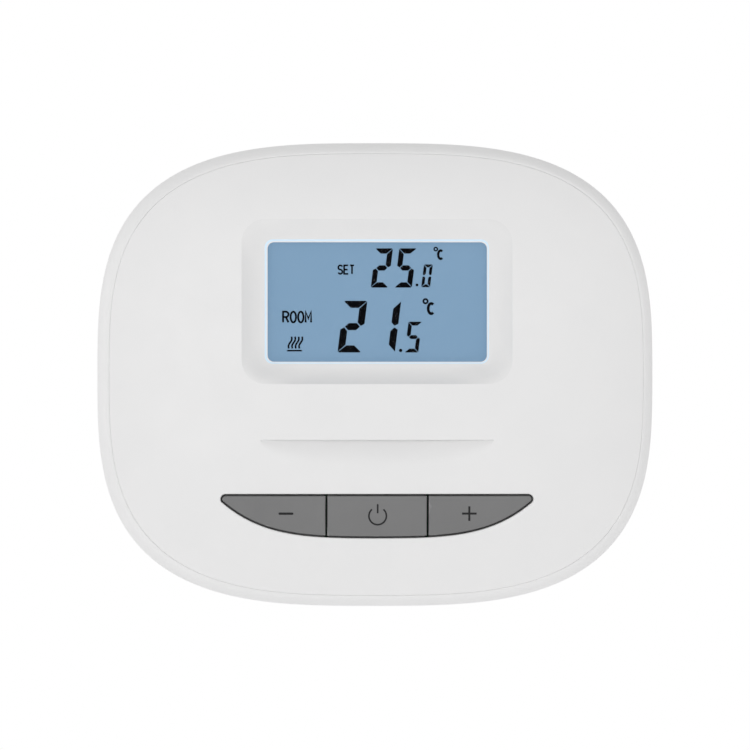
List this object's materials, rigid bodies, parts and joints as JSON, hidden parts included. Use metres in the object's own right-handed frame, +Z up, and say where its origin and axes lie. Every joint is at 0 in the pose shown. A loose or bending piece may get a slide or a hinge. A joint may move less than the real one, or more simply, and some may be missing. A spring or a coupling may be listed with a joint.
{
  "type": "wall thermostat",
  "caption": "Battery wall thermostat: white pebble-shaped case tilting off a wall plate, blue liquid crystal display in a dished recess, grey minus, power and plus keys in a bowed row.",
  "frame": {"origin": "middle of the wall plate's back face, in the plane of the wall", "axes": "+X to the right as seen from the front, +Z up, +Y into the wall, so the front faces -Y"},
  "size_m": [0.12, 0.0275, 0.1],
  "materials": {
    "white_shell": "fine satin texture",
    "white_moulding": "plain moulded",
    "grey_key": "fine satin texture",
    "clear_window": "clear polished",
    "display_glass": "clear polished",
    "display_film": "smooth film lit from behind",
    "light_guide": "milky polished",
    "reflector_foil": "white foil",
    "led_package": "moulded package",
    "contact_rubber": "matt elastomer",
    "board_green": "solder mask",
    "black_epoxy": "matt moulded",
    "relay_blue": "moulded",
    "terminal_green": "moulded",
    "capacitor_sleeve": "shrunk sleeve",
    "screw_steel": "zinc plated",
    "nickel_plate": "nickel plated",
    "battery_wrap": "printed sleeve without marks"
  },
  "bodies": {
    "wall_mount": {"wall_plate": "white_moulding"},
    "case": {"backlight_guide": "light_guide", "backlight_led_1": "led_package", "backlight_led_2": "led_package", "backlight_reflector": "reflector_foil", "battery_1": "battery_wrap", "battery_2": "battery_wrap", "battery_spring_1": "nickel_plate", "battery_spring_2": "nickel_plate", "board_screw_1": "screw_steel", "board_screw_2": "screw_steel", "board_screw_3": "screw_steel", "board_screw_4": "screw_steel", "bridge_contact": "nickel_plate", "capacitor": "capacitor_sleeve", "case_screw_1": "screw_steel", "case_screw_2": "screw_steel", "case_screw_3": "screw_steel", "case_screw_4": "screw_steel", "circuit_board": "board_green", "crystal": "nickel_plate", "display_frame": "white_moulding", "display_lens": "clear_window", "front_cover": "white_shell", "lcd_front_glass": "display_glass", "lcd_front_polariser": "display_film", "lcd_rear_glass": "display_glass", "lcd_rear_polariser": "display_film", "lower_contact_strip": "contact_rubber", "microcontroller": "black_epoxy", "minus_switch": "black_epoxy", "negative_contact": "nickel_plate", "plus_switch": "black_epoxy", "positive_contact": "nickel_plate", "power_switch": "black_epoxy", "rear_case": "white_shell", "relay": "relay_blue", "terminal_block": "terminal_green", "terminal_screw_1": "screw_steel", "terminal_screw_2": "screw_steel", "terminal_screw_3": "screw_steel", "thermistor": "black_epoxy", "upper_contact_strip": "contact_rubber"},
    "minus_key": {"minus_button": "grey_key", "minus_plunger": "white_moulding"},
    "power_key": {"power_button": "grey_key", "power_plunger": "white_moulding"},
    "plus_key": {"plus_button": "grey_key", "plus_plunger": "white_moulding"}
  },
  "joints": [
    {"name": "case_tilt", "type": "hinge", "parent": "wall_mount", "child": "case", "pos_m": [0, -0.003, 0.0383], "axis": [-1, 0, 0], "range_deg": [0, 15]},
    {"name": "minus_press", "type": "slide", "parent": "case", "child": "minus_key", "axis": [0, 1, 0], "range_m": [0, 0.0005], "stiffness_N_per_m": 400, "springref_m": -0.0015},
    {"name": "power_press", "type": "slide", "parent": "case", "child": "power_key", "axis": [0, 1, 0], "range_m": [0, 0.0005], "stiffness_N_per_m": 400, "springref_m": -0.0015},
    {"name": "plus_press", "type": "slide", "parent": "case", "child": "plus_key", "axis": [0, 1, 0], "range_m": [0, 0.0005], "stiffness_N_per_m": 400, "springref_m": -0.0015}
  ]
}
